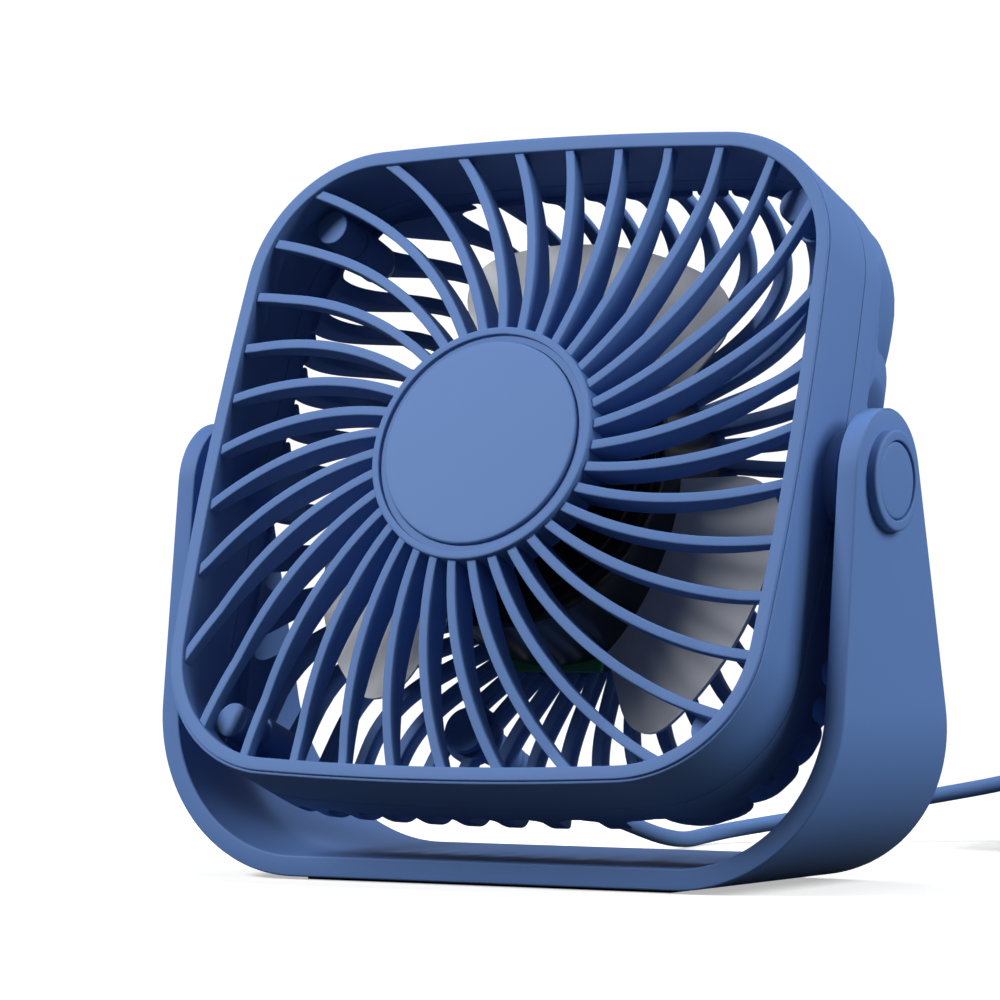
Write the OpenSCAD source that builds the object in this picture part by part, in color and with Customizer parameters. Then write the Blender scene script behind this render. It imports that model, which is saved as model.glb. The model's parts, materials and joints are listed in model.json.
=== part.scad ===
// Small desk fan: a square head that tilts in a one-piece U bracket, fed by a USB lead.
// +Z is up, the fan blows towards -Y, and the origin is on the standing surface below the tilt axis.

/* [Head] */
// Width and height of the square head
head_w = 135.6; // [134:0.2:142]
// Radius of the gently bowed sides
side_r = 750; // [240:10:900]
// Radius of the head's corners
corner_r = 28.5; // [24:0.5:34]
// Front face, in front of the tilt axis
head_front = 18.6; // [18:0.1:20]
// Back face, behind the tilt axis
head_back = 24.4; // [24:0.1:27]
// Joint between the front and the rear cover, in front of the tilt axis
seam = 2.6; // [2:0.1:4]
// Rounding of the back edge
back_round = 17; // [14:0.5:18]
// Thickness of the covers' walls
wall = 2.4; // [2:0.1:3]
// Upward tilt of the head at rest
head_tilt = 20; // [0:1:30]

/* [Grille] */
// Number of front ribs
rib_count = 35; // [25:1:40]
// Width of a front rib
rib_t = 2; // [1.6:0.1:2.4]
// Turn of a front rib per millimetre of radius
rib_turn = 0.39; // [0:0.01:0.6]
// Outer radius of the hub ring
hub_r = 24.3; // [22:0.1:26]
// Front of the hub ring, in front of the tilt axis
hub_front = 23.7; // [22:0.1:25]
// Number of ribs on the back
vane_count = 44; // [32:4:48]
// Width of a back rib
vane_t = 2.6; // [2:0.1:3]

/* [Impeller] */
// Tip radius of the blades
blade_r = 55; // [50:0.5:58]
// Number of blades
blade_count = 3; // [3:1:3]
// Angle that one blade spans
blade_span = 68; // [50:1:75]
// Outer radius of the impeller's hub
boss_r = 32; // [30:0.5:33]
// Radius of the motor shaft
shaft_r = 1.48; // [1.45:0.01:1.49]

/* [Stand] */
// Width over the bracket's arms
stand_w = 154.2; // [152:0.2:158]
// Thickness of the bracket
stand_t = 4.2; // [3.5:0.1:4.6]
// Outside radius of the bracket's lower corners
stand_corner = 34; // [30:1:40]
// Height of the tilt axis
axis_z = 78.1; // [77.5:0.1:82]
// Reach of the base in front of the axis
base_front = 23.2; // [20:0.1:28]
// Reach of the base behind the axis
base_back = 34.4; // [30:0.1:35]
// Radius of the arms' round tops
arm_r = 13.8; // [13:0.1:15]
// Thickness of the non-slip pad
pad_t = 0.6; // [0.4:0.1:0.8]

/* [Cord] */
// Diameter of the cord
cord_d = 3.6; // [3.4:0.1:3.6]
// Radius of the coil at the middle of its turns
coil_r = 21.2; // [18:0.2:21.6]
// Layers of turns in the coil, two turns to a layer
coil_layers = 5; // [3:1:5]

/* [Hidden] */
$fn = 96;

FINE = 0.01;
FAR = 200;
blue = [0.24, 0.4, 0.7];
dark = [0.16, 0.17, 0.2];
steel = [0.75, 0.76, 0.78];
copper = [0.72, 0.42, 0.2];
brass = [0.8, 0.65, 0.3];

// Head outline: four wide arcs and four corner arcs that touch them
half = head_w / 2;
arc_off = side_r - half;
corner_c = (sqrt(2 * pow(side_r - corner_r, 2) - pow(arc_off, 2)) - arc_off) / 2;
corner_reach = corner_c * sqrt(2) + corner_r;
rim_wall = 3.3;
rim_step = 0.6;

// Ribs
rib_rear = -15.2;
rib_flat_r = 66;
dome_r = 378;
dome_y = -hub_front + 0.8 - 0.76 + dome_r;
vane_inner_r = 33;
vane_mid_r = 53;
vane_bend = 0.0215;
vane_start = -2.86;
vane_depth = 3.6;
slot_y = 5;
boss_at = 53.5;
boss_or = 4.2;
screw_r = 1.45;
screw_seat = 8;
screw_head_r = 2.7;

// Motor
plate_y = 20;
plate_r = 23.4;
disc_y = 22;
tube_r = 4;
tube_or = 6;
mount_pcd = 21;
core_r = 9.5;
tooth_t = 2.6;
tip_r = 21.5;
tip_w = 10.8;

// Button
button_r = 3.6;
button_z = -28.6;
button_top = 25.9;
button_gap = 0.3;
flange_r = 4.4;
flange_y = 21.1;
switch_y = 20.2;

// Relief
relief_x = -18;
relief_z = -45;
relief_l = 22;
relief_tip_r = 2.5;

// Pivots
arm_in = stand_w / 2 - stand_t;
arm_out = stand_w / 2;
pivot_boss_r = 9.6;
insert_r = 3.2;
insert_l = 5;
boss_face = 70.5;
pivot_r = 2;
pivot_bore = 2.06;
cap_r = 7.5;
cap_ring_r = 9.7;
cap_ring_h = 2;

// Plug
plug_w = 14.7;
plug_t = 8;
plug_l = 16.8;
plug_at = [80, 123];
nose_l = 4.7;
nose_w = 6.7;
nose_t = 5.4;
shell_w = 12;
shell_t = 4.5;
shell_l = 12.3;
shell_wall = 0.3;
shell_root = 6;
contact_pitch = 2.2;
contact_w = 1.1;
contact_t = 0.3;

// Coil: the lead comes onto its top at coil_in and leaves its foot on the +X side
coil_at = [58.8, 163.9];
coil_h = coil_layers * cord_d;
coil_in = 120.6;
coil_gap = 40;
tie_t = 0.8;

// Cord centre lines, laid by hand, from the head to the coil and from the coil to the plug
drop_points = [
  [-18, 33, 18.2], [-18, 40, 15.9], [-18, 48, 13.4], [-18.1, 56, 11.2], [-18.4, 64, 9.2],
  [-19.2, 73, 7.3], [-20.6, 82, 5.6], [-22.6, 91, 4.2], [-24.8, 100, 3.1], [-27, 109.5, 2.2],
  [-29.2, 119, 1.8]
];
run_points = [
  [-29.2, 119, 1.8], [-30.3, 128, 2.1], [-28.2, 136.8, 3], [-22, 143, 4.3], [-14, 147.6, 5.8],
  [-5.4, 152.6, 7.5], [3.2, 157.7, 9.2], [11.8, 162.8, 10.9], [20.4, 167.9, 12.7],
  [27.2, 171.9, 14.3], [34, 175.9, 15.7], [40.6, 179.9, 16.2], [47.1, 183.7, 16.2]
];
tail_points = [
  [81.8, 163.9, 1.8], [81.8, 155, 1.8], [81.4, 147, 1.8], [80.7, 139, 1.9], [80.1, 131, 2.8],
  [80, 123, 4]
];

// Where a point of the untilted head stands in the world
function head_point(p) = [
  p[0],
  p[1] * cos(head_tilt) + p[2] * sin(head_tilt),
  axis_z - p[1] * sin(head_tilt) + p[2] * cos(head_tilt)
];
// World direction in which the strain relief points
function relief_dir() = [0, cos(head_tilt), -sin(head_tilt)];

// Front rib and back rib: angle of the middle line at radius r
function rib_angle(r) = rib_turn * (r - 26) - 1.07;
function vane_angle(r) = vane_bend * pow(r - vane_mid_r, 2);
function polar(r, a) = [r * cos(a), r * sin(a)];
// Points beside a middle line, half a width to one side; slope is the turn per millimetre
function beside(r, a, slope, off) =
  let (lean = a + atan(r * slope * PI / 180)) polar(r, a) + off * [-sin(lean), cos(lean)];

// Tube swept along points: the side directions stay level, so the tube never twists
function unit(v) = v / norm(v);
function heading(p, i) = unit(p[min(i + 1, len(p) - 1)] - p[max(i - 1, 0)]);
function level(d) = unit(cross([0, 0, 1], d));
function ring_points(p, i, r, sides) =
  let (d = heading(p, i), s = level(d), u = cross(d, s))
  [for (k = [0:sides - 1]) p[i] + r * (cos(360 * k / sides) * s + sin(360 * k / sides) * u)];
module tube(p, d, sides = 8) {
  n = len(p);
  points = [for (i = [0:n - 1]) each ring_points(p, i, d / 2, sides)];
  skin = [
    for (i = [0:n - 2], k = [0:sides - 1])
      let (j = (k + 1) % sides) [i * sides + k, (i + 1) * sides + k, (i + 1) * sides + j, i * sides + j]
  ];
  first = [for (k = [0:sides - 1]) k];
  last = [for (k = [sides - 1:-1:0]) (n - 1) * sides + k];
  polyhedron(points, concat([first], skin, [last]), convexity = 8);
}

// Frames -----------------------------------------------------------------

module in_head() {
  translate([0, 0, axis_z]) rotate([-head_tilt, 0, 0]) children();
}

// A flat shape in X and Z, made solid from y0 to y1
module slab(y0, y1) {
  translate([0, y1, 0]) rotate([90, 0, 0]) linear_extrude(height = y1 - y0) children();
}

// A shape of radius and y, turned about the fan's axis
module turned() {
  rotate([-90, 0, 0]) rotate_extrude() children();
}

module disc(r, y0, y1) {
  slab(y0, y1) circle(r);
}

module ring(r_out, r_in, y0, y1) {
  slab(y0, y1) difference() {
    circle(r_out);
    circle(r_in);
  }
}

module at_corners() {
  for (x = [-1, 1], z = [-1, 1]) translate([x * boss_at, 0, z * boss_at]) children();
}

module both_ways() {
  for (x = [-1, 1], z = [-1, 1]) translate([x * corner_c, z * corner_c]) children();
}

// The head's outline, moved inwards
module outline(inset = 0) {
  r = side_r - inset;
  touch = r * corner_c / (side_r - corner_r);
  intersection() {
    translate([-arc_off, 0]) circle(r, $fn = 360);
    translate([arc_off, 0]) circle(r, $fn = 360);
    translate([0, -arc_off]) circle(r, $fn = 360);
    translate([0, arc_off]) circle(r, $fn = 360);
    union() {
      square([2 * half, 2 * touch], center = true);
      square([2 * touch, 2 * half], center = true);
      both_ways() circle(corner_r - inset);
    }
  }
}

// Outline of a box that is rounded at the back, for one direction
module back_profile(w, back, r) {
  translate([-w, -FAR]) square([2 * w, FAR + back - r]);
  translate([-w + r, -FAR]) square([2 * (w - r), FAR + back]);
  for (s = [-1, 1]) translate([s * (w - r), back - r]) circle(r);
}

// The rear cover's body as a full solid, moved inwards
module pillow(inset = 0) {
  back = head_back - inset;
  r = back_round - inset;
  w = half - inset;
  intersection() {
    slab(-seam, back) outline(inset);
    linear_extrude(height = FAR, center = true) back_profile(w, back, r);
    rotate([0, -90, 0]) linear_extrude(height = FAR, center = true) back_profile(w, back, r);
    turned() intersection() {
      back_profile(corner_reach - inset, back, r);
      translate([0, -FAR]) square([FAR, 2 * FAR]);
    }
  }
}

// Front cover -----------------------------------------------------------

module front_ribs() {
  radii = [23.4, 30, 37, 44, 51, 58, 65, 72, 80, 92];
  for (i = [0:rib_count - 1]) rotate(360 * i / rib_count) polygon(concat(
    [for (r = radii) beside(r, rib_angle(r), rib_turn, rib_t / 2)],
    [for (k = [len(radii) - 1:-1:0])
      beside(radii[k], rib_angle(radii[k]), rib_turn, -rib_t / 2)]
  ));
}

// Everything behind the domed front of the grille
module behind_dome() {
  dome_rim = dome_y - sqrt(pow(dome_r, 2) - pow(rib_flat_r, 2));
  turned() intersection() {
    union() {
      translate([0, dome_y]) circle(dome_r, $fn = 720);
      translate([0, dome_rim]) square([FAR, FAR]);
    }
    translate([0, -head_front - 20]) square([rib_flat_r + FAR, 60]);
  }
}

module front_cover() {
  color(blue) in_head() difference() {
    union() {
      front_walls();
      front_grille();
      ring(hub_r, hub_r - 3, -hub_front + 0.7, rib_rear);
      ring(hub_r, hub_r - 1.6, -hub_front, rib_rear);
      disc(hub_r - 2, -hub_front + 2.6, -hub_front + 4.4);
      front_bosses();
    }
    on_both_sides() translate([half - 10, 0, 0]) rotate([0, 90, 0])
      cylinder(r = pivot_boss_r + 0.2, h = 20);
  }
}

module front_walls() {
  slab(-head_front, -head_front + rim_step) difference() {
    outline(rim_step);
    outline(rim_wall);
  }
  slab(-head_front + rim_step, -seam - 10) difference() {
    outline();
    outline(rim_wall);
  }
  slab(-seam - 10, -seam) difference() {
    outline();
    outline(wall);
  }
  slab(-seam, -seam + 2) difference() {
    outline(wall / 2 + 0.1);
    outline(wall);
  }
}

module front_grille() {
  intersection() {
    slab(-hub_front - 1, rib_rear) intersection() {
      front_ribs();
      outline(rim_wall - 0.3);
    }
    behind_dome();
  }
}

// Screw posts in the corners, each with a web to the wall, as seen from the front
module corner_posts() {
  intersection() {
    union() for (x = [-1, 1], z = [-1, 1]) {
      translate([x * boss_at, z * boss_at]) circle(boss_or);
      translate([x * (boss_at + 4), z * (boss_at + 4)]) rotate(45 * x * z)
        square([10, 3], center = true);
    }
    outline(wall - 0.3);
  }
}

module front_bosses() {
  difference() {
    slab(rib_rear + 1, -seam) corner_posts();
    at_corners() slab(rib_rear + 3, 0) circle(screw_r);
  }
}

module hub_cap() {
  color(blue) in_head() difference() {
    union() {
      disc(hub_r - 3.1, -hub_front - 0.2, -hub_front + 0.8);
      disc(hub_r - 3.1, -hub_front + 0.8, -hub_front + 2.6);
    }
    disc(hub_r - 6, -hub_front + 1.4, -hub_front + 3);
  }
}

// Rear cover ------------------------------------------------------------

module back_ribs() {
  radii = [for (r = [31:3:88]) r];
  for (i = [0:vane_count - 1]) rotate(360 * i / vane_count + vane_start) polygon(concat(
    [for (r = radii) beside(r, vane_angle(r), 2 * vane_bend * (r - vane_mid_r), vane_t / 2)],
    [for (k = [len(radii) - 1:-1:0]) let (r = radii[k])
      beside(r, vane_angle(r), 2 * vane_bend * (r - vane_mid_r), -vane_t / 2)]
  ));
}

module rear_cover() {
  color(blue) in_head() difference() {
    union() {
      slab(-seam, -seam + 2.1) difference() {
        outline();
        outline(wall / 2);
      }
      slab(-seam + 2.1, slot_y) difference() {
        outline();
        outline(wall);
      }
      intersection() {
        difference() {
          pillow();
          pillow(vane_depth);
        }
        slab(slot_y, head_back + 1) union() {
          back_ribs();
          translate([relief_x, relief_z]) circle(6);
        }
      }
      disc(vane_inner_r, disc_y, head_back);
      slab(-seam + 2.1, screw_seat) corner_posts();
      at_corners() disc(boss_or, -seam, screw_seat);
      pivot_bosses();
      board_posts();
    }
    at_corners() disc(screw_r + 0.2, -seam - 1, FAR);
    at_corners() disc(screw_head_r + 0.3, screw_seat, FAR);
    mount_holes(screw_r + 0.15);
    translate([0, 0, button_z]) {
      disc(button_r + button_gap, disc_y - 1, FAR);
      disc(flange_r + button_gap, plate_y, disc_y);
    }
    relief_seat();
    pivot_holes();
  }
}

// Solid bosses inside the side walls that carry the tilt pivots
module pivot_bosses() {
  on_both_sides() {
    translate([half - insert_l - 2, 0, 0]) rotate([0, 90, 0]) cylinder(r = 6.4, h = insert_l + 1.5);
    translate([half - 1, 0, 0]) rotate([0, 90, 0])
      cylinder(r = pivot_boss_r, h = boss_face - half + 1);
  }
}

module on_both_sides() {
  children();
  mirror([1, 0, 0]) children();
}

module on_side(s) {
  if (s > 0) children();
  else mirror([1, 0, 0]) children();
}

module pivot_holes() {
  on_both_sides() translate([half - insert_l - 1, 0, 0]) rotate([0, 90, 0])
    cylinder(r = insert_r, h = 40);
}

module board_posts() {
  for (x = [-1, 1]) translate([x * 9, 0, button_z + 1]) disc(1.5, 19, disc_y + FINE);
}

module mount_holes(r) {
  for (a = [90, 210, 330]) rotate([0, a, 0]) translate([mount_pcd, 0, 0]) disc(r, plate_y - 1, FAR);
}

// Places a child on the strain relief's axis, its own +Z along the cord
module on_relief() {
  translate([relief_x, head_back, relief_z]) rotate([-90, 0, 0]) children();
}

module relief_seat() {
  on_relief() translate([0, 0, -10]) cylinder(r = 3.4, h = 30);
}

module cover_screws() {
  color(dark) in_head() at_corners() {
    disc(screw_r, rib_rear + 5, screw_seat);
    difference() {
      disc(screw_head_r, screw_seat, screw_seat + 2.2);
      slab(screw_seat + 1.2, screw_seat + 3) {
        square([3.4, 0.7], center = true);
        square([0.7, 3.4], center = true);
      }
    }
  }
}

module strain_relief() {
  color(blue) in_head() on_relief() difference() {
    union() {
      translate([0, 0, -6]) cylinder(r = 4.6, h = 2);
      translate([0, 0, -4]) cylinder(r = 3.35, h = 4.5);
      translate([0, 0, 0.5]) cylinder(r1 = 3.9, r2 = relief_tip_r, h = relief_l - 0.5);
    }
    translate([0, 0, -7]) cylinder(r = cord_d / 2, h = 10);
  }
}

// Motor, held by the rear cover -------------------------------------------

module motor_mount() {
  color(dark) in_head() difference() {
    union() {
      disc(plate_r, plate_y, disc_y);
      ring(tube_or, tube_r, 3, plate_y);
      ring(tube_or, tube_r - 0.6, 6, 15);
    }
    mount_holes(screw_r);
  }
}

module motor_screws() {
  color(steel) in_head() for (a = [90, 210, 330]) rotate([0, a, 0]) translate([mount_pcd, 0, 0]) {
    disc(screw_r, plate_y + 0.2, head_back);
    difference() {
      disc(2.6, head_back, head_back + 1.3);
      slab(head_back + 0.7, head_back + 2) {
        square([3.2, 0.6], center = true);
        square([0.6, 3.2], center = true);
      }
    }
  }
}

module bearing(y0) {
  color(steel) in_head() ring(tube_r, 1.5, y0, y0 + 3);
}

module front_bearing() {
  bearing(3);
}

module rear_bearing() {
  bearing(15);
}

module each_tooth() {
  for (i = [0:8]) rotate([0, 40 * i, 0]) children();
}

module stator_core() {
  color(steel) in_head() slab(6, 14) difference() {
    union() {
      circle(core_r);
      for (i = [0:8]) rotate(40 * i) {
        translate([core_r - 1, -tooth_t / 2]) square([tip_r - core_r - 0.2, tooth_t]);
        intersection() {
          difference() {
            circle(tip_r);
            circle(tip_r - 1.7);
          }
          translate([tip_r - 6, -tip_w / 2]) square([10, tip_w]);
        }
      }
    }
    circle(tube_or);
  }
}

module stator_windings() {
  color(copper) in_head() each_tooth() difference() {
    translate([11.6, 4.4, -3]) cube([7.6, 11.2, 6]);
    translate([9, 6, -tooth_t / 2]) cube([11.2, 8, tooth_t]);
  }
}

module switch_board() {
  color([0.1, 0.35, 0.2]) in_head() translate([-11, 18, button_z - 4]) cube([22, 1, 8.4]);
}

module tact_switch() {
  color(dark) in_head() translate([-3, 19, button_z - 3]) cube([6, switch_y - 19, 6]);
}

module speed_button() {
  color(blue) in_head() translate([0, 0, button_z]) {
    disc(button_r, flange_y, button_top);
    disc(flange_r, flange_y, disc_y - 0.1);
  }
}

// Impeller ---------------------------------------------------------------

module impeller_hub() {
  color(dark) in_head() difference() {
    union() {
      ring(boss_r, 28, -3.6, 17);
      disc(boss_r, -6, -3.6);
    }
    disc(shaft_r, -5, 0);
    ring(boss_r - 0.7, boss_r - 1.3, -7, -5.5);
    ring(boss_r - 2, boss_r - 2.6, -7, -5.5);
  }
}

// One blade: a helical sheet, thicker at its root, from hub to tip
module blade(turn) {
  steps = 12;
  rows = 3;
  thick = 1.1;
  rise = 15.8;
  front_y = 0;
  reach = function (v) boss_r - 0.2 + (blade_r - boss_r + 0.2) * v;
  corner = function (u, v) 9 * pow(v, 3) * pow(abs(2 * u - 1), 3) * sign(0.5 - u);
  angle = function (u, v) turn - blade_span * u - corner(u, v);
  depth = function (u, v) front_y + rise * u - 2.4 * sin(180 * u) * (1 - 0.5 * v);
  at = function (u, v, off)
    let (a = angle(u, v), r = reach(v)) [r * cos(a), depth(u, v) + off, r * sin(a)];
  n = rows + 1;
  count = (steps + 1) * n;
  points = [
    for (off = [0, thick], i = [0:steps], k = [0:rows]) at(i / steps, k / rows, off)
  ];
  function id(side, i, k) = side * count + i * n + k;
  faces = concat(
    [for (i = [0:steps - 1], k = [0:rows - 1])
      [id(0, i, k), id(0, i, k + 1), id(0, i + 1, k + 1)]],
    [for (i = [0:steps - 1], k = [0:rows - 1])
      [id(0, i, k), id(0, i + 1, k + 1), id(0, i + 1, k)]],
    [for (i = [0:steps - 1], k = [0:rows - 1])
      [id(1, i, k), id(1, i + 1, k + 1), id(1, i, k + 1)]],
    [for (i = [0:steps - 1], k = [0:rows - 1])
      [id(1, i, k), id(1, i + 1, k), id(1, i + 1, k + 1)]],
    [for (i = [0:steps - 1]) [id(0, i, 0), id(0, i + 1, 0), id(1, i + 1, 0)]],
    [for (i = [0:steps - 1]) [id(0, i, 0), id(1, i + 1, 0), id(1, i, 0)]],
    [for (i = [0:steps - 1]) [id(0, i, rows), id(1, i + 1, rows), id(0, i + 1, rows)]],
    [for (i = [0:steps - 1]) [id(0, i, rows), id(1, i, rows), id(1, i + 1, rows)]],
    [for (k = [0:rows - 1]) [id(0, 0, k), id(1, 0, k + 1), id(0, 0, k + 1)]],
    [for (k = [0:rows - 1]) [id(0, 0, k), id(1, 0, k), id(1, 0, k + 1)]],
    [for (k = [0:rows - 1]) [id(0, steps, k), id(0, steps, k + 1), id(1, steps, k + 1)]],
    [for (k = [0:rows - 1]) [id(0, steps, k), id(1, steps, k + 1), id(1, steps, k)]]
  );
  color(steel) in_head() polyhedron(points, faces, convexity = 6);
}

module blade_1() {
  blade(122);
}

module blade_2() {
  blade(2);
}

module blade_3() {
  blade(-118);
}

module rotor_cup() {
  color(steel) in_head() {
    ring(28, 26.6, -2.2, 15);
    ring(28, shaft_r, -3.6, -2.2);
  }
}

module rotor_magnet() {
  color(dark) in_head() ring(26.6, 23, 4, 15);
}

module motor_shaft() {
  color(steel) in_head() {
    disc(shaft_r, -5, 18.2);
    disc(1.1, 18.2, 18.7);
    disc(shaft_r, 18.7, 19.4);
  }
}

module shaft_clip() {
  color(steel) in_head() ring(2.6, 1.1, 18.25, 18.65);
}

// Stand ------------------------------------------------------------------

// U outline in X and Z, moved inwards
module u_shape(inset) {
  w = stand_w / 2 - inset;
  r = stand_corner - inset;
  low = pad_t + inset;
  translate([-w, low + r]) square([2 * w, FAR]);
  translate([-w + r, low]) square([2 * (w - r), FAR]);
  for (s = [-1, 1]) translate([s * (w - r), low + r]) circle(r);
}

// Side outline in Y and Z: the base's edges lead straight to the round top of the arms
module arm_shape() {
  front_d = norm([base_front, axis_z - pad_t]);
  back_d = norm([base_back, axis_z - pad_t]);
  front_a = 180 - atan2(axis_z - pad_t, base_front);
  back_a = atan2(axis_z - pad_t, base_back);
  front_turn = 90 - asin(arm_r / front_d);
  back_turn = 90 - asin(arm_r / back_d);
  centre = [0, axis_z];
  translate(centre) circle(arm_r);
  polygon([
    [-base_front, pad_t],
    [base_back, pad_t],
    centre + polar(arm_r, -back_a + back_turn),
    centre + polar(arm_r, 180 + (180 - front_a) - front_turn)
  ]);
}

module stand_bracket() {
  color(blue) difference() {
    union() {
      intersection() {
        translate([0, FAR / 2, 0]) rotate([90, 0, 0]) linear_extrude(height = FAR) difference() {
          u_shape(0);
          u_shape(stand_t);
        }
        rotate([90, 0, 90]) translate([0, 0, -FAR / 2]) linear_extrude(height = FAR) arm_shape();
      }
      on_both_sides() translate([arm_out - 1, 0, axis_z]) rotate([0, 90, 0])
        cylinder(r = cap_ring_r, h = cap_ring_h + 1);
    }
    on_both_sides() {
      translate([arm_in - 1, 0, axis_z]) rotate([0, 90, 0]) cylinder(r = pivot_bore, h = 30);
      translate([arm_out - 0.6, 0, axis_z]) rotate([0, 90, 0]) cylinder(r = cap_r + 0.05, h = 30);
      translate([arm_out - 2.6, 0, axis_z]) rotate([0, 90, 0]) cylinder(r = 4.2, h = 30);
    }
  }
}

module non_slip_pad() {
  color([0.12, 0.13, 0.16]) translate([-41, -base_front + 3, 0])
    cube([82, base_front + base_back - 6, pad_t]);
}

module pivot_cap(s) {
  color(blue) on_side(s) translate([arm_out - 0.6, 0, axis_z])
    rotate([0, 90, 0]) difference() {
      cylinder(r = cap_r, h = cap_ring_h + 0.3);
      translate([0, 0, -1]) cylinder(r = 5, h = 2);
    }
}

module pivot_cap_left() {
  pivot_cap(-1);
}

module pivot_cap_right() {
  pivot_cap(1);
}

module friction_washer(s) {
  gap_in = boss_face;
  color(dark) on_side(s) translate([gap_in + 0.1, 0, axis_z]) rotate([0, 90, 0])
    difference() {
      cylinder(r = 8.4, h = arm_in - gap_in - 0.1);
      translate([0, 0, -1]) cylinder(r = 2.3, h = 10);
    }
}

module friction_washer_left() {
  friction_washer(-1);
}

module friction_washer_right() {
  friction_washer(1);
}

module pivot_insert(s) {
  color(brass) in_head() on_side(s) translate([half - insert_l - 1, 0, 0])
    rotate([0, 90, 0]) difference() {
      cylinder(r = insert_r, h = insert_l);
      translate([0, 0, -1]) cylinder(r = pivot_r, h = 10);
    }
}

module pivot_insert_left() {
  pivot_insert(-1);
}

module pivot_insert_right() {
  pivot_insert(1);
}

module pivot_screw(s) {
  start = half - insert_l - 1;
  head_x = arm_out - 2.5;
  color(steel) in_head() on_side(s) rotate([0, 90, 0]) {
    translate([0, 0, start]) cylinder(r = pivot_r, h = head_x - start);
    translate([0, 0, head_x]) difference() {
      cylinder(r = 3.9, h = 1.9);
      translate([0, 0, 1]) cylinder(r = 1.2, h = 2, $fn = 6);
    }
  }
}

module pivot_screw_left() {
  pivot_screw(-1);
}

module pivot_screw_right() {
  pivot_screw(1);
}

// Cord and plug -----------------------------------------------------------

module cord_drop() {
  tip = head_point([relief_x, head_back, relief_z]) + relief_l * relief_dir();
  color(blue) tube(concat([tip], drop_points), cord_d);
}

module cord_run() {
  color(blue) tube(run_points, cord_d);
}

// Full turns, with the lead's last turn on top and its first on the foot left open to the tubes
module cord_coil() {
  color(blue) translate(coil_at) {
    rotate_extrude() translate([coil_r - cord_d, 0]) square([cord_d, coil_h]);
    rotate_extrude() translate([coil_r - FINE, cord_d]) square([cord_d + FINE, coil_h - 2 * cord_d]);
    rotate_extrude(angle = 360 - coil_gap) translate([coil_r - FINE, 0])
      square([cord_d + FINE, cord_d]);
    rotate_extrude(angle = coil_in) translate([coil_r - FINE, coil_h - cord_d])
      square([cord_d + FINE, cord_d]);
  }
}

module coil_tie() {
  color(dark) translate(coil_at) rotate(240) difference() {
    translate([coil_r - cord_d - tie_t, -2.5, 0.2])
      cube([2 * cord_d + 2 * tie_t, 5, coil_h + tie_t - 0.2]);
    rotate_extrude() translate([coil_r - cord_d, -1]) square([2 * cord_d, coil_h + 1]);
  }
}

module cord_tail() {
  color(blue) tube(tail_points, cord_d);
}

// The plug lies flat; its own +Z runs from the cord to the metal end, and its +Y is up
module at_plug() {
  translate([plug_at[0], plug_at[1], plug_t / 2]) rotate([90, 0, 0]) children();
}

module block(w, t, l, z = 0) {
  translate([-w / 2, -t / 2, z]) cube([w, t, l]);
}

module plug_relief() {
  color(blue) at_plug() block(nose_w, nose_t, nose_l);
}

module plug_body() {
  color(blue) at_plug() difference() {
    block(plug_w, plug_t, plug_l, nose_l);
    block(shell_w, shell_t, shell_root + 2, nose_l + plug_l - shell_root);
  }
}

module plug_shell() {
  base = nose_l + plug_l - shell_root;
  color(steel) at_plug() difference() {
    block(shell_w, shell_t, shell_l + shell_root, base);
    block(shell_w - 2 * shell_wall, shell_t - 2 * shell_wall, shell_l + shell_root + 2, base - 1);
    for (x = [-3, 3]) translate([x, 0, 0]) block(2.8, 10, 2.6, nose_l + plug_l + 6.4);
  }
}

module each_contact() {
  for (i = [-1.5:1:1.5]) translate([i * contact_pitch, 0.75, 0]) children();
}

module plug_tongue() {
  base = nose_l + plug_l - shell_root;
  color(dark) at_plug() difference() {
    union() {
      block(shell_w - 2 * shell_wall, 1.8, shell_l + shell_root - 0.6, base);
      block(shell_w - 2 * shell_wall, shell_t - 2 * shell_wall, shell_root - 1, base);
    }
    each_contact() block(contact_w, contact_t, shell_l, base + shell_root - 0.4);
  }
}

module plug_contacts() {
  color(brass) at_plug() each_contact()
    block(contact_w, contact_t, shell_l - 1, nose_l + plug_l - 0.4);
}

front_cover();
hub_cap();
rear_cover();
cover_screws();
motor_mount();
motor_screws();
stator_core();
stator_windings();
front_bearing();
rear_bearing();
switch_board();
tact_switch();
speed_button();
strain_relief();
pivot_insert_left();
pivot_insert_right();
pivot_screw_left();
pivot_screw_right();
impeller_hub();
blade_1();
blade_2();
blade_3();
rotor_cup();
rotor_magnet();
motor_shaft();
shaft_clip();
stand_bracket();
non_slip_pad();
pivot_cap_left();
pivot_cap_right();
friction_washer_left();
friction_washer_right();
cord_drop();
cord_run();
cord_coil();
coil_tie();
cord_tail();
plug_relief();
plug_body();
plug_shell();
plug_tongue();
plug_contacts();
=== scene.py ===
"""Looks of a small desk fan with a tilting square head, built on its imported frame.

Lengths are in millimetres until a mesh is made. The head's pieces are worked out in the head's
own frame, whose origin is the tilt axis and whose -Y is the way the air blows, and are then
tilted with it. The camera and the lead come first, then the head, the impeller and the stand.
"""

from __future__ import annotations

import json
import logging
import math
from dataclasses import dataclass, field
from enum import Enum

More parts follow.
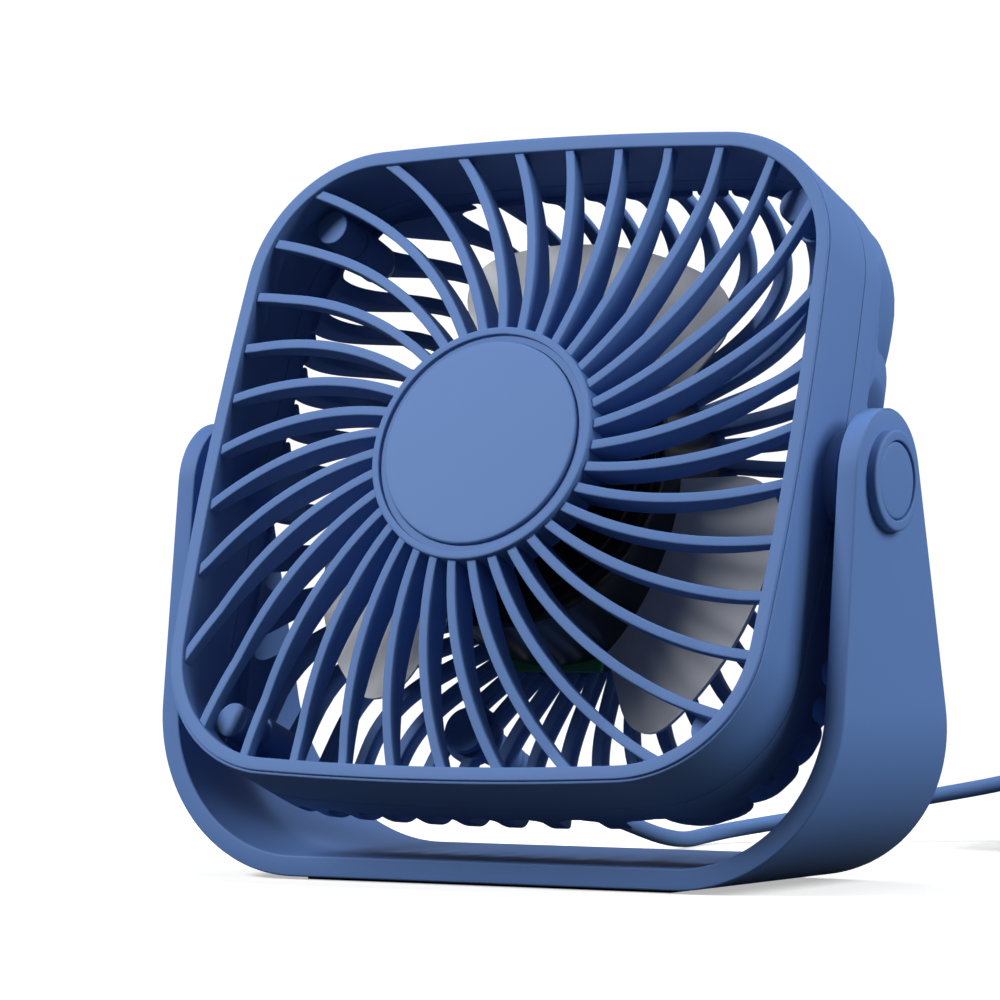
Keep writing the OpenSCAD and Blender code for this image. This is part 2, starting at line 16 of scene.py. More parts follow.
import bmesh
import bpy
import numpy as np
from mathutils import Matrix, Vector

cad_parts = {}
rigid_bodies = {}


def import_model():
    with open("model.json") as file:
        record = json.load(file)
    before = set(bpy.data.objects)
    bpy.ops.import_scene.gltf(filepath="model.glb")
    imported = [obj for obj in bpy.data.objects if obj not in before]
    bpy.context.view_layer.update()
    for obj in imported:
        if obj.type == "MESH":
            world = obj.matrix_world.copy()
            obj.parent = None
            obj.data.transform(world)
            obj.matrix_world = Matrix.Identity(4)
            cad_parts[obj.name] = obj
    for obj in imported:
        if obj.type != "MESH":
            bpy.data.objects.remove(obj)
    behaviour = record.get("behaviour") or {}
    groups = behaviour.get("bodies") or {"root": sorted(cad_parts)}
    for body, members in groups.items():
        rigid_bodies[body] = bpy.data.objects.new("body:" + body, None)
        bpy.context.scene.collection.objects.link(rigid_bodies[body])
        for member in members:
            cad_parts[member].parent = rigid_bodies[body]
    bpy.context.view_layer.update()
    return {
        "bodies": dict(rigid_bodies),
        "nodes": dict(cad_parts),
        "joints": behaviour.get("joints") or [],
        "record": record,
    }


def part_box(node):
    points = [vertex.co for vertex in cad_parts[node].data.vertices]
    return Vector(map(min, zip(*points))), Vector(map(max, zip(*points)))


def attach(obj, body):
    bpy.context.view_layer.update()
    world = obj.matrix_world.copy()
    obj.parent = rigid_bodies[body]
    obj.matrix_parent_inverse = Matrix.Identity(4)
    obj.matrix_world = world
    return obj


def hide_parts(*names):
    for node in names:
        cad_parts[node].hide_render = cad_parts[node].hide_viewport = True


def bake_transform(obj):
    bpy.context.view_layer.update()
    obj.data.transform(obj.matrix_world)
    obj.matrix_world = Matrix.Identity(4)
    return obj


LOG = logging.getLogger("fan")
MM = 0.001
AXIS_R = 0.01
CREASE = 35.0
Array = np.ndarray
Node = bpy.types.Node
Piece = bpy.types.Object


# ---------------------------------------------------------------- surfaces


@dataclass
class Surface:
    """Grids of points that together make one mesh.

    Where it has a head frame, the points are given in that frame and tilted as they are added.
    """

    frame: HeadFrame | None = None
    points: list[Array] = field(default_factory=list)
    faces: list[list[int]] = field(default_factory=list)
    count: int = 0

    def add(self, grids: Array, close_rows: bool = False, caps: bool = False) -> None:
        """Adds one or more grids whose columns run round a closed loop.

        Each square of the grid joins a point to its neighbours in the next column and row.

        Args:
            grids: points as (rows, columns, 3), or (grids, rows, columns, 3).
            close_rows: whether the last row joins the first.
            caps: whether the first and the last row are closed by a flat face.
        """
        grids = grids if grids.ndim == 4 else grids[None]
        grids = self.frame.world(grids) if self.frame else grids
        total, rows, cols, _ = grids.shape
        row = np.arange(rows if close_rows else rows - 1)
        i, j = np.meshgrid(row, np.arange(cols), indexing="ij")
        ahead, beside = (i + 1) % rows, (j + 1) % cols
        quads = np.stack([i * cols + j, ahead * cols + j, ahead * cols + beside, i * cols + beside], -1)
        starts = self.count + rows * cols * np.arange(total)
        self.faces += (quads.reshape(1, -1, 4) + starts[:, None, None]).reshape(-1, 4).tolist()
        if caps:
            loop = np.arange(cols)
            self.faces += (starts[:, None] + loop[::-1]).tolist()
            self.faces += (starts[:, None] + (rows - 1) * cols + loop).tolist()
        self.points.append(grids.reshape(-1, 3))
        self.count += total * rows * cols

    def build(self, name: str, crease: float = CREASE) -> Piece:
        """Makes the mesh object, with outward faces and sharp edges past an angle.

        Args:
            name: the piece's name.
            crease: angle in degrees above which an edge stays sharp.

        Returns:
            The new object, at the origin.
        """
        mesh = bpy.data.meshes.new(name)
        mesh.from_pydata((np.concatenate(self.points) * MM).tolist(), [], self.faces)
        work = bmesh.new()
        work.from_mesh(mesh)
        bmesh.ops.remove_doubles(work, verts=work.verts, dist=1e-7)
        bmesh.ops.recalc_face_normals(work, faces=work.faces)
        work.to_mesh(mesh)
        work.free()
        mesh.shade_smooth()
        mesh.set_sharp_from_angle(angle=math.radians(crease))
        piece = bpy.data.objects.new(name, mesh)
        bpy.context.scene.collection.objects.link(piece)
        return piece


def rounded(corners: Array, radii: Array, steps: int = 4) -> Array:
    """A closed outline with its corners rounded.

    Each corner V becomes the curve (1-t)^2 A + 2t(1-t) V + t^2 B, where A and B lie on the two
    edges at the corner's radius from V.

    Args:
        corners: the outline's corners as (n, 2), in order.
        radii: how far from each corner its rounding starts.
        steps: points on each rounded corner, less one.

    Returns:
        The outline as (n * (steps + 1), 2).
    """
    before = np.roll(corners, 1, axis=0) - corners
    after = np.roll(corners, -1, axis=0) - corners
    reach = np.asarray(radii, float)[:, None]
    start = corners + reach * before / np.linalg.norm(before, axis=1, keepdims=True)
    end = corners + reach * after / np.linalg.norm(after, axis=1, keepdims=True)
    t = np.linspace(0, 1, steps + 1)[None, :, None]
    arcs = (1 - t) ** 2 * start[:, None] + 2 * t * (1 - t) * corners[:, None] + t**2 * end[:, None]
    return arcs.reshape(-1, 2)


def turned(profile: Array, steps: int) -> Array:
    """A closed profile of (radius, y) turned about the fan's axis.

    The point at angle a is (radius cos a, y, radius sin a).

    Args:
        profile: the closed profile as (n, 2).
        steps: positions round the axis.

    Returns:
        A grid of (steps, n, 3), to be closed along its rows.
    """
    a = np.linspace(0, math.tau, steps, endpoint=False)[:, None]
    radius, y = profile[None, :, 0], profile[None, :, 1]
    return np.stack([radius * np.cos(a), y + 0 * a, radius * np.sin(a)], -1)


def crowned(radius: float, face: float, crown: float, soft: float, back: float, steps: int) -> Array:
    """Profile of (radius, height) of a round plate with a low crown and a soft edge.

    The face rises towards the middle by crown (1 - (r / radius)^2), and its edge is a quarter
    circle.

    Args:
        radius: the plate's radius.
        face: height of the face at the plate's edge, before the soft edge falls away.
        crown: how far the middle stands above it.
        soft: radius of the soft edge.
        back: height of the plate's back.
        steps: points from the middle to the soft edge.

    Returns:
        The closed profile as (n, 2), to be turned.
    """
    r = np.linspace(AXIS_R, radius - soft, steps)
    height = face + crown * (1 - (r / radius) ** 2)
    turn = np.linspace(0, math.pi / 2, 6)[1:]
    edge = np.stack([radius - soft + soft * np.sin(turn), height[-1] - soft * (1 - np.cos(turn))], -1)
    return np.concatenate([np.stack([r, height], -1), edge, [(radius, back), (AXIS_R, back)]])


def smooth_step(t: Array) -> Array:
    """Eases from 0 to 1: t^2 (3 - 2t), held at both ends."""
    t = np.clip(t, 0, 1)
    return t * t * (3 - 2 * t)


# ---------------------------------------------------------------- finishes


class Grain(Enum):
    """How a moulded or machined surface is broken up."""

    FINE = "fine"
    BRUSHED = "brushed"


def set_inputs(node: Node, values: dict[str | int, object]) -> None:
    """Sets a node's inputs, each by its name or number."""
    for key, value in values.items():
        node.inputs[key].default_value = value


def add_node(tree: bpy.types.NodeTree, kind: str, values: dict | None = None) -> Node:
    """Adds a node of a kind to a tree and sets its inputs.

    Args:
        tree: the tree.
        kind: the node's type.
        values: the inputs to set, by name or number.

    Returns:
        The new node.
    """
    node = tree.nodes.new(kind)
    set_inputs(node, values or {})
    return node


def link(source: Node, output: str, target: Node, slot: str | int) -> None:
    """Joins a node's output to an input of another node in the same tree."""
    source.id_data.links.new(source.outputs[output], target.inputs[slot])


def noise(coords: Node, scale: float, detail: float, drawn: bool) -> Node:
    """Adds a noise on object coordinates, drawn out along one direction where asked.

    Args:
        coords: the tree's Texture Coordinate node.
        scale: the noise's scale.
        detail: the noise's detail.
        drawn: whether it is drawn out.

    Returns:
        The noise node.
    """
    spread = add_node(coords.id_data, "ShaderNodeMapping")
    if drawn:
        spread.inputs["Scale"].default_value = (0.06, 1.0, 1.0)
    cells = add_node(coords.id_data, "ShaderNodeTexNoise", {"Scale": scale, "Detail": detail})
    link(coords, "Object", spread, "Vector")
    link(spread, "Vector", cells, "Vector")
    return cells


def ramp(source: Node, low: tuple, high: tuple) -> Node:
    """Adds a two-colour ramp driven by a noise.

    Args:
        source: the noise.
        low: colour where the noise is low.
        high: colour where it is high.

    Returns:
        The ramp node.
    """
    band = add_node(source.id_data, "ShaderNodeValToRGB")
    for stop, position, color in zip(band.color_ramp.elements, (0.3, 0.7), (low, high)):
        stop.position = position
        stop.color = (*color, 1)
    link(source, "Fac", band, "Fac")
    return band


@dataclass(frozen=True)
class Finish:
    """A procedural finish: colour, gloss, and the small marks that break them up."""

    name: str
    color: tuple[float, float, float]
    roughness: float
    metallic: float = 0.0
    grain: Grain = Grain.FINE
    grain_scale: float = 2600.0
    cloud_scale: float = 60.0
    bump: float = 0.04
    mottle: float = 0.06
    gloss_spread: float = 0.12
    coat: float = 0.0
    anisotropy: float = 0.0
    specular: float = 0.5

    def material(self) -> bpy.types.Material:
        """Builds the material's nodes once, and returns it from then on.

        Returns:
            The material.
        """
        made = bpy.data.materials.get(self.name)
        if made:
            return made
        made = bpy.data.materials.new(self.name)
        made.use_nodes = True
        brushed = self.grain is Grain.BRUSHED
        shader = made.node_tree.nodes["Principled BSDF"]
        set_inputs(shader, {
            "Metallic": self.metallic, "Coat Weight": self.coat, "Coat Roughness": 0.08,
            "Anisotropic": self.anisotropy, "Specular IOR Level": self.specular,
        })
        coords = add_node(made.node_tree, "ShaderNodeTexCoord")
        grain = noise(coords, self.grain_scale, 3.0, brushed)
        cloud = noise(coords, self.cloud_scale, 4.0, False)
        self._colour(shader, cloud, grain)
        self._gloss(shader, grain if brushed else cloud)
        relief = add_node(made.node_tree, "ShaderNodeBump", {"Strength": self.bump, "Distance": 0.0002})
        link(grain, "Fac", relief, "Height")
        link(relief, "Normal", shader, "Normal")
        return made

    def _colour(self, shader: Node, cloud: Node, grain: Node) -> None:
        """Varies the colour slowly over the piece and a little from grain to grain.

        Args:
            shader: the material's shader.
            cloud: the slow noise.
            grain: the fine noise.
        """
        low = tuple(c * (1 - self.mottle) for c in self.color)
        high = tuple(min(1.0, c * (1 + self.mottle)) for c in self.color)
        slow, quick = ramp(cloud, low, high), ramp(grain, low, high)
        mix = add_node(shader.id_data, "ShaderNodeMix")
        mix.data_type = "RGBA"
        mix.inputs["Factor"].default_value = 0.4
        link(slow, "Color", mix, "A")
        link(quick, "Color", mix, "B")
        link(mix, "Result", shader, "Base Color")

    def _gloss(self, shader: Node, source: Node) -> None:
        """Varies the roughness round its value by a noise.

        Args:
            shader: the material's shader.
            source: the noise.
        """
        low = self.roughness * (1 - self.gloss_spread)
        high = min(1.0, self.roughness * (1 + self.gloss_spread))
        span = add_node(shader.id_data, "ShaderNodeMapRange", {"To Min": low, "To Max": high})
        link(source, "Fac", span, "Value")
        link(span, "Result", shader, "Roughness")


SHELL_BLUE = Finish("shell_blue", (0.04, 0.104, 0.315), 0.38, bump=0.05, specular=0.7)
CAP_BLUE = Finish("cap_blue", (0.062, 0.142, 0.375), 0.28, grain_scale=1800.0, bump=0.02)
SILVER = Finish(
    "silver_plastic", (0.34, 0.35, 0.375), 0.16, 1.0, Grain.BRUSHED, bump=0.02, anisotropy=0.4
)
BLACK_GLOSS = Finish("black_gloss", (0.012, 0.013, 0.017), 0.12, bump=0.005, coat=0.6)
DARK_PLASTIC = Finish("dark_plastic", (0.025, 0.027, 0.034), 0.5)
STEEL = Finish("steel", (0.6, 0.61, 0.63), 0.28, 1.0, Grain.BRUSHED, bump=0.03)
COPPER = Finish("copper", (0.72, 0.33, 0.14), 0.3, 1.0, Grain.BRUSHED, 1500.0, bump=0.3)
BRASS = Finish("brass", (0.8, 0.6, 0.25), 0.3, 1.0, Grain.BRUSHED, bump=0.03)
FERRITE = Finish("magnet", (0.05, 0.05, 0.055), 0.7)
SOLDER_RESIST = Finish("board", (0.008, 0.03, 0.016), 0.4, grain_scale=700.0)
FOOT_RUBBER = Finish("foot_rubber", (0.02, 0.022, 0.028), 0.8, grain_scale=900.0, bump=0.2)
JACKET = Finish("cord_jacket", (0.065, 0.125, 0.31), 0.42, bump=0.06)
PLUG_JACKET = Finish("plug_jacket", (0.063, 0.142, 0.372), 0.5, grain_scale=1400.0, bump=0.25)
PLUG_STEEL = Finish("plug_steel", (0.82, 0.82, 0.84), 0.14, 1.0, Grain.BRUSHED, bump=0.02)

FINISHES = {
    finish.name: finish
    for finish in (
        SHELL_BLUE, CAP_BLUE, SILVER, BLACK_GLOSS, DARK_PLASTIC, STEEL, COPPER, BRASS, FERRITE,
        SOLDER_RESIST, FOOT_RUBBER, JACKET, PLUG_JACKET, PLUG_STEEL,
    )
}


def dress(piece: Piece, finish: Finish) -> None:
    """Gives a piece one finish all over."""
    piece.data.materials.clear()
    piece.data.materials.append(finish.material())


def place(
    surface: Surface, name: str, body: str, finish: Finish, node: str, crease: float = CREASE
) -> Piece:
    """Builds a piece, dresses it, and puts it on its body in place of its node.

    Args:
        surface: the piece's points and faces.
        name: the piece's name.
        body: the body that it moves with.
        finish: the finish, named as the record's slot.
        node: the node that it stands for.
        crease: angle in degrees above which an edge stays sharp.

    Returns:
        The new piece.
    """
    piece = surface.build(name, crease)
    dress(piece, finish)
    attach(piece, body)
    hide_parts(node)
    LOG.info("%s: %d faces on %s", name, len(piece.data.polygons), body)
    return piece


# ---------------------------------------------------------------- frames


@dataclass(frozen=True)
class HeadFrame:
    """Where the head's own frame stands, read from the fan's spin axis."""

    height: float
    tilt: float

    @classmethod
    def of(cls, joints: list[dict]) -> HeadFrame:
        """Reads the tilt axis and the rest angle from the impeller's joint."""
        spin = next(joint for joint in joints if joint["name"] == "impeller_spin")
        return cls(spin["pos_m"][2] / MM, math.atan2(spin["axis"][2], -spin["axis"][1]))

    def world(self, points: Array) -> Array:
        """Tilts head points: y and z turn about the tilt axis, which stands at its height.

        Args:
            points: points in the head's own frame, as (..., 3).

        Returns:
            The points as they stand in the fan.
        """
        x, y, z = points[..., 0], points[..., 1], points[..., 2]
        c, s = math.cos(self.tilt), math.sin(self.tilt)
        return np.stack([x, y * c + z * s, self.height - y * s + z * c], -1)


@dataclass(frozen=True)
class HeadOutline:
    """The square head seen from the front: four wide arcs and four corner arcs that touch."""

    half: float
    side_r: float = 750.0
    corner_r: float = 28.5

    @property
    def offset(self) -> float:
        """How far a side arc's centre lies beyond the middle."""
        return self.side_r - self.half

    @property
    def corner(self) -> float:
        """Both coordinates of a corner arc's centre."""
        gap = self.side_r - self.corner_r
        return (math.sqrt(2 * gap**2 - self.offset**2) - self.offset) / 2

    @property
    def share(self) -> float:
        """Half the angle that a side arc takes up."""
        return math.asin(self.corner / (self.side_r - self.corner_r))

    def edge(self, angle: Array, inset: Array) -> tuple[Array, Array]:
        """Points of the outline whose normal has an angle, moved inwards.

        Each arc's point is its centre plus its radius along the normal, so an inset only
        shortens the radius.

        Args:
            angle: the normal's angle from +X towards +Z, in radians.
            inset: how far inside the outline.

        Returns:
            The x and z of each point.
        """
        turn = np.round(angle / (math.pi / 2)) * (math.pi / 2)
        part = angle - turn
        on_side = np.abs(part) <= self.share
        up = np.where(on_side, 0.0, np.sign(part) * self.corner)
        out = np.where(on_side, -self.offset, self.corner)
        radius = np.where(on_side, self.side_r, self.corner_r) - inset
        along, across = out + radius * np.cos(part), up + radius * np.sin(part)
        c, s = np.cos(turn), np.sin(turn)
        return along * c - across * s, along * s + across * c

    def inset_of(self, x: Array, z: Array) -> Array:
        """How far points lie inside the outline: the least of the sides' and the corner's.

        Args:
            x: the points' x.
            z: the points' z.

        Returns:
            Each point's distance inside the outline.
        """
        x, z = np.abs(x), np.abs(z)
        side = np.minimum(
            self.side_r - np.hypot(x + self.offset, z), self.side_r - np.hypot(x, z + self.offset)
        )
        in_corner = (x > self.corner) & (z > self.corner)
        corner = self.corner_r - np.hypot(x - self.corner, z - self.corner)
        return np.where(in_corner, np.minimum(side, corner), side)

    def carry(self, profile: Array, per_side: int = 28, per_corner: int = 26) -> Array:
        """A closed profile of (inset, y) carried round the outline.

        Args:
            profile: the closed profile as (n, 2).
            per_side: positions along each side arc.
            per_corner: positions along each corner arc.

        Returns:
            A grid of (positions, n, 3), to be closed along its rows.
        """
        side = np.linspace(-self.share, self.share, per_side, endpoint=False)
        corner = np.linspace(self.share, math.pi / 2 - self.share, per_corner, endpoint=False)
        quarter = np.concatenate([side, corner])
        angle = (quarter[None] + np.arange(4)[:, None] * math.pi / 2).reshape(-1, 1)
        x, z = self.edge(angle, profile[None, :, 0])
        return np.stack([x, profile[None, :, 1] + 0 * x, z], -1)


# ---------------------------------------------------------------- studio


def put(data: bpy.types.Camera | bpy.types.Light, at: tuple, aim: tuple) -> Piece:
    """Puts a camera or a light in the scene, facing the point it is aimed at.

    Args:
        data: the camera or light.
        at: where it stands.
        aim: the point that it faces.

    Returns:
        The new object.
    """
    thing = bpy.data.objects.new(data.name, data)
    thing.location = at
    thing.rotation_euler = (Vector(aim) - Vector(at)).to_track_quat("-Z", "Y").to_euler()
    bpy.context.scene.collection.objects.link(thing)
    return thing


@dataclass(frozen=True)
class Softbox:
    """A square soft light."""

    name: str
    at: tuple[float, float, float]
    size: float
    watts: float

    def build(self, aim: tuple[float, float, float]) -> None:
        """Adds the light, facing the point it is aimed at.

        Args:
            aim: the point that the light faces.
        """
        light = bpy.data.lights.new(self.name, "AREA")
        light.shape = "SQUARE"
        light.size = self.size
        light.energy = self.watts
        put(light, self.at, aim)


@dataclass(frozen=True)
class Studio:
    """Camera, soft lights, pale floor and white surroundings. Lengths are in metres."""

    eye: tuple[float, float, float] = (0.44445, -0.76534, 0.0566)
    aim: tuple[float, float, float] = (-0.0086, 0.0, 0.07537)
    lens: float = 160.66
    sensor: float = 36.0
    far_clip: float = 50.0
    ambient: float = 0.05
    shine: float = 9.0
    white: float = 1.05
    floor_size: float = 6.0
    floor_glow: float = 0.45
    floor_bounce: float = 0.1
    floor_fade: tuple[float, float] = (0.2, 0.5)
    lights_aim: tuple[float, float, float] = (0.0, 0.0, 0.07)
    boxes: tuple[Softbox, ...] = (
        Softbox("key_left", (-0.85, -1.1, 1.02), 0.5, 29.0),
        Softbox("side_right", (1.2, 0.25, 0.8), 0.8, 19.0),
        Softbox("top", (0.0, 0.3, 1.5), 1.2, 5.0),
    )

    def build(self) -> None:
        """Builds the camera, the lights, the surroundings and the floor."""
        camera = bpy.data.cameras.new("camera")
        camera.lens = self.lens
        camera.sensor_width = self.sensor
        camera.clip_end = self.far_clip
        bpy.context.scene.camera = put(camera, self.eye, self.aim)
        bpy.context.scene.view_settings.view_transform = "Standard"
        for softbox in self.boxes:
            softbox.build(self.lights_aim)
        self._surroundings()
        self._floor()

    def _surroundings(self) -> None:
        """White behind the fan, and round it a dim sky that darkens downwards.

        The sky is brighter by a factor of shine in gloss.
        """
        world = bpy.data.worlds.new("surroundings")
        world.use_nodes = True
        bpy.context.scene.world = world
        tree = world.node_tree
        seen = tree.nodes["Background"]
        set_inputs(seen, {"Color": (1, 1, 1, 1), "Strength": self.white})
        coords = add_node(tree, "ShaderNodeTexCoord")
        split = add_node(tree, "ShaderNodeSeparateXYZ")
        fade = add_node(tree, "ShaderNodeMapRange", {
            "From Min": -0.1, "From Max": 0.8, "To Min": 0.2 * self.ambient, "To Max": 1.8 * self.ambient,
        })
        felt = add_node(tree, "ShaderNodeBackground")
        path = add_node(tree, "ShaderNodeLightPath")
        mix = add_node(tree, "ShaderNodeMixShader")
        gain = add_node(tree, "ShaderNodeMath")
        gain.operation = "MULTIPLY_ADD"
        set_inputs(gain, {1: self.shine - 1, 2: 1.0})
        product = add_node(tree, "ShaderNodeMath")
        product.operation = "MULTIPLY"
        link(path, "Is Glossy Ray", gain, 0)
        link(gain, "Value", product, 0)
        link(fade, "Result", product, 1)
        link(coords, "Generated", split, "Vector")
        link(split, "Z", fade, "Value")
        link(product, "Value", felt, "Strength")
        link(path, "Is Camera Ray", mix, "Fac")
        link(felt, "Background", mix, 1)
        link(seen, "Background", mix, 2)
        link(mix, "Shader", tree.nodes["World Output"], "Surface")

    def _floor(self) -> None:
        """A pale floor that shows the soft shadow and throws little light back up."""
        reach = self.floor_size / 2
        mesh = bpy.data.meshes.new("floor")
        corners = [(-reach, -reach, 0), (reach, -reach, 0), (reach, reach, 0), (-reach, reach, 0)]
        mesh.from_pydata(corners, [], [(0, 1, 2, 3)])
        floor = bpy.data.objects.new("floor", mesh)
        bpy.context.scene.collection.objects.link(floor)
        mesh.materials.append(self._floor_paint())

    def _floor_paint(self) -> bpy.types.Material:
        """Pale near the fan and white further off to the camera, and dull to everything else.

        Returns:
            The floor's material.
        """
        paint = bpy.data.materials.new("floor_paint")
        paint.use_nodes = True
        tree = paint.node_tree
        lit = tree.nodes["Principled BSDF"]
        set_inputs(lit, {
            "Base Color": (0.8, 0.8, 0.79, 1), "Roughness": 0.9, "Specular IOR Level": 0.0,
            "Emission Color": (1, 1, 1, 1), "Emission Strength": self.floor_glow,
        })
        white = add_node(tree, "ShaderNodeEmission", {"Strength": self.white})
        dull = add_node(tree, "ShaderNodeBsdfDiffuse", {"Color": (self.floor_bounce,) * 3 + (1,)})
        coords = add_node(tree, "ShaderNodeTexCoord")
        distance = add_node(tree, "ShaderNodeVectorMath")
        distance.operation = "LENGTH"
        fade = add_node(tree, "ShaderNodeMapRange")
        fade.interpolation_type = "SMOOTHSTEP"
        set_inputs(fade, {"From Min": self.floor_fade[0], "From Max": self.floor_fade[1]})
        path = add_node(tree, "ShaderNodeLightPath")
        near = add_node(tree, "ShaderNodeMixShader")
        mix = add_node(tree, "ShaderNodeMixShader")
        link(coords, "Object", distance, 0)
        link(distance, "Value", fade, "Value")
        link(fade, "Result", near, "Fac")
        link(lit, "BSDF", near, 1)
        link(white, "Emission", near, 2)
        link(path, "Is Camera Ray", mix, "Fac")
        link(dull, "BSDF", mix, 1)
        link(near, "Shader", mix, 2)
        link(mix, "Shader", tree.nodes["Material Output"], "Surface")
        return paint


# ---------------------------------------------------------------- lead and plug


@dataclass(frozen=True)
class Lead:
    """The lead from the strain relief to the plug, with its coil.

    The two open stretches are given point by point and the coil's turns are worked out.
    """

    diameter: float = 3.6
    coil_at: tuple[float, float] = (58.8, 163.9)
    coil_r: float = 21.2
    coil_in: float = 120.6
    first_turn: float = 0.735
    inner_turn: float = 0.95
    crossing: float = 0.09
    free_from: int = 3
    drop: tuple[tuple[float, float, float], ...] = (
        (-18, 28.2, 19.95), (-18, 33, 18.2), (-18, 40, 15.9), (-18, 48, 13.4), (-18.1, 56, 11.2),
        (-18.4, 64, 9.2), (-19.2, 73, 7.3), (-20.6, 82, 5.6), (-22.6, 91, 4.2), (-24.8, 100, 3.1),
        (-27, 109.5, 2.2), (-29.2, 119, 1.8),
    )
    run: tuple[tuple[float, float, float], ...] = (
        (-30.3, 128, 2.1), (-28.2, 136.8, 3), (-22, 143, 4.3), (-14, 147.6, 5.8), (-5.4, 152.6, 7.5),
        (3.2, 157.7, 9.2), (11.8, 162.8, 10.9), (20.4, 167.9, 12.7), (27.2, 171.9, 14.3),
        (34, 175.9, 15.7), (40.6, 179.9, 16.2), (47.1, 183.7, 16.2),
    )
    tail: tuple[tuple[float, float, float], ...] = (
        (81.8, 163.9, 1.8), (81.8, 155, 1.8), (81.4, 147, 1.8), (80.7, 139, 1.9), (80.1, 131, 2.8),
        (80, 123, 4),
    )

    def coil(self, per_turn: int = 40) -> Array:
        """Points of the wound part, from the top outside to the foot outside.

        The angle falls evenly. The radius and the height step from one place in the stack to
        the next by an eased sum, a little earlier on each lower turn, so the strands pass.

        Args:
            per_turn: points on each turn.

        Returns:
            The points as (n, 3), without the two ends.
        """
        d = self.diameter
        inner, outer = self.coil_r - d / 2, self.coil_r + d / 2
        columns = np.array([outer, inner, inner, outer, outer, inner, inner, outer, inner, outer])
        levels = np.array([5, 5, 4, 4, 3, 3, 2, 2, 1, 1]) * d - d / 2
        moves = columns.size - 1
        turns = moves + self.coil_in / 360
        a = np.linspace(0, turns, int(per_turn * turns) + 1)[1:-1]
        steps = self.first_turn + self.inner_turn * np.arange(moves)
        share = smooth_step((a[:, None] - steps) / self.crossing + 0.5)
        radius = columns[0] + share @ np.diff(columns)
        height = levels[0] + share @ np.diff(levels)
        angle = np.radians(self.coil_in - 360 * a)
        x = self.coil_at[0] + radius * np.cos(angle)
        y = self.coil_at[1] + radius * np.sin(angle)
        return np.stack([x, y, height], -1)

    def path(self) -> Array:
        """The whole lead's middle line, in millimetres."""
        laid = [np.array(self.drop + self.run, float), self.coil(), np.array(self.tail, float)]
        return np.concatenate(laid)

    def tube(self, path: Array, sides: int = 14, between: int = 4) -> Array:
        """Carries a circle along a smooth curve through the path.

        Between two points the curve is the Catmull-Rom blend of four neighbours. The circle
        stands on the level normal of the curve and the direction square to both.

        Args:
            path: the middle line's points.
            sides: points round the tube.
            between: samples from one point to the next.

        Returns:
            A grid of (n, sides, 3).
        """
        far = np.concatenate([2 * path[:1] - path[1:2], path, 2 * path[-1:] - path[-2:-1]])
        a, b, c, d = far[:-3, None], far[1:-2, None], far[2:-1, None], far[3:, None]
        t = (np.arange(between) / between)[None, :, None]
        blend = 2 * b + (c - a) * t + (2 * a - 5 * b + 4 * c - d) * t**2
        line = (0.5 * (blend + (3 * b - a - 3 * c + d) * t**3)).reshape(-1, 3)
        line = np.concatenate([line, path[-1:]])
        way = np.gradient(line, axis=0)
        way /= np.linalg.norm(way, axis=1, keepdims=True)
        side = np.stack([-way[:, 1], way[:, 0], 0 * way[:, 0]], -1)
        side /= np.linalg.norm(side, axis=1, keepdims=True)
        up = np.cross(way, side)
        angle = np.linspace(0, math.tau, sides, endpoint=False)[None, :, None]
        ring = np.cos(angle) * side[:, None] + np.sin(angle) * up[:, None]
        return line[:, None] + self.diameter / 2 * ring

    def build(self, frame: dict, plug: list[Piece]) -> Piece:
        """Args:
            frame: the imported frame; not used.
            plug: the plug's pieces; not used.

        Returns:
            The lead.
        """
        path = self.path()
        surface = Surface()
        surface.add(self.tube(path), caps=True)
        lead = surface.build("lead")
        dress(lead, JACKET)
        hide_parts("cord_drop", "cord_run", "cord_coil", "cord_tail")
        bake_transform(lead)
        LOG.info("lead: %.3f m", np.linalg.norm(np.diff(path, axis=0), axis=1).sum() * MM)
        return lead


@dataclass(frozen=True)
class Plug:
    """The plug's moulded jacket; its metal end is the frame's own."""

    body_corner: float = 1.1
    nose_corner: float = 0.8
    end_round: float = 0.9

    def build(self, frame: dict) -> list[Piece]:
        """Builds the two moulded pieces and returns all of the plug's pieces.

        Args:
            frame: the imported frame.

        Returns:
            The plug's pieces, the moulded ones first.
        """
        jacket = self._block("plug_jacket", "plug_body", self.body_corner)
        nose = self._block("plug_nose", "plug_relief", self.nose_corner)
        return [jacket, nose] + [frame["nodes"][n] for n in ("plug_shell", "plug_tongue", "plug_contacts")]

    def _block(self, name: str, node: str, corner: float) -> Piece:
        """A block whose section is a rounded rectangle that shrinks by a quarter circle at its ends.

        Args:
            name: the piece's name.
            node: the node it stands for and takes its size from.
            corner: rounding of its long edges.

        Returns:
            The new piece.
        """
        low, high = (np.array(corner_at) / MM for corner_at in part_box(node))
        half = (high - low) / 2
        middle = (high + low) / 2
        base = np.array([(-1, -1), (1, -1), (1, 1), (-1, 1)], float) * half[[0, 2]]
        ring = rounded(base, np.full(4, corner), 6)
        quarter = np.linspace(0, math.pi / 2, 6)
        shrink = self.end_round * (1 - np.cos(quarter))
        along = half[1] - self.end_round * (1 - np.sin(quarter))
        y = np.concatenate([-along[::-1], along])
        inset = np.concatenate([shrink[::-1], shrink])[:, None, None]
        loops = ring[None] * (1 - inset / half[[0, 2]])
        grid = np.stack([loops[..., 0], y[:, None] + 0 * loops[..., 0], loops[..., 1]], -1) + middle
        surface = Surface()
        surface.add(grid, caps=True)
        return place(surface, name, "stand", PLUG_JACKET, node)


# ---------------------------------------------------------------- head


POST_MIDDLES = 53.5 * np.array([(1, 1), (1, -1), (-1, -1), (-1, 1)], float)
WEB_MIDDLES = 1.055 * POST_MIDDLES


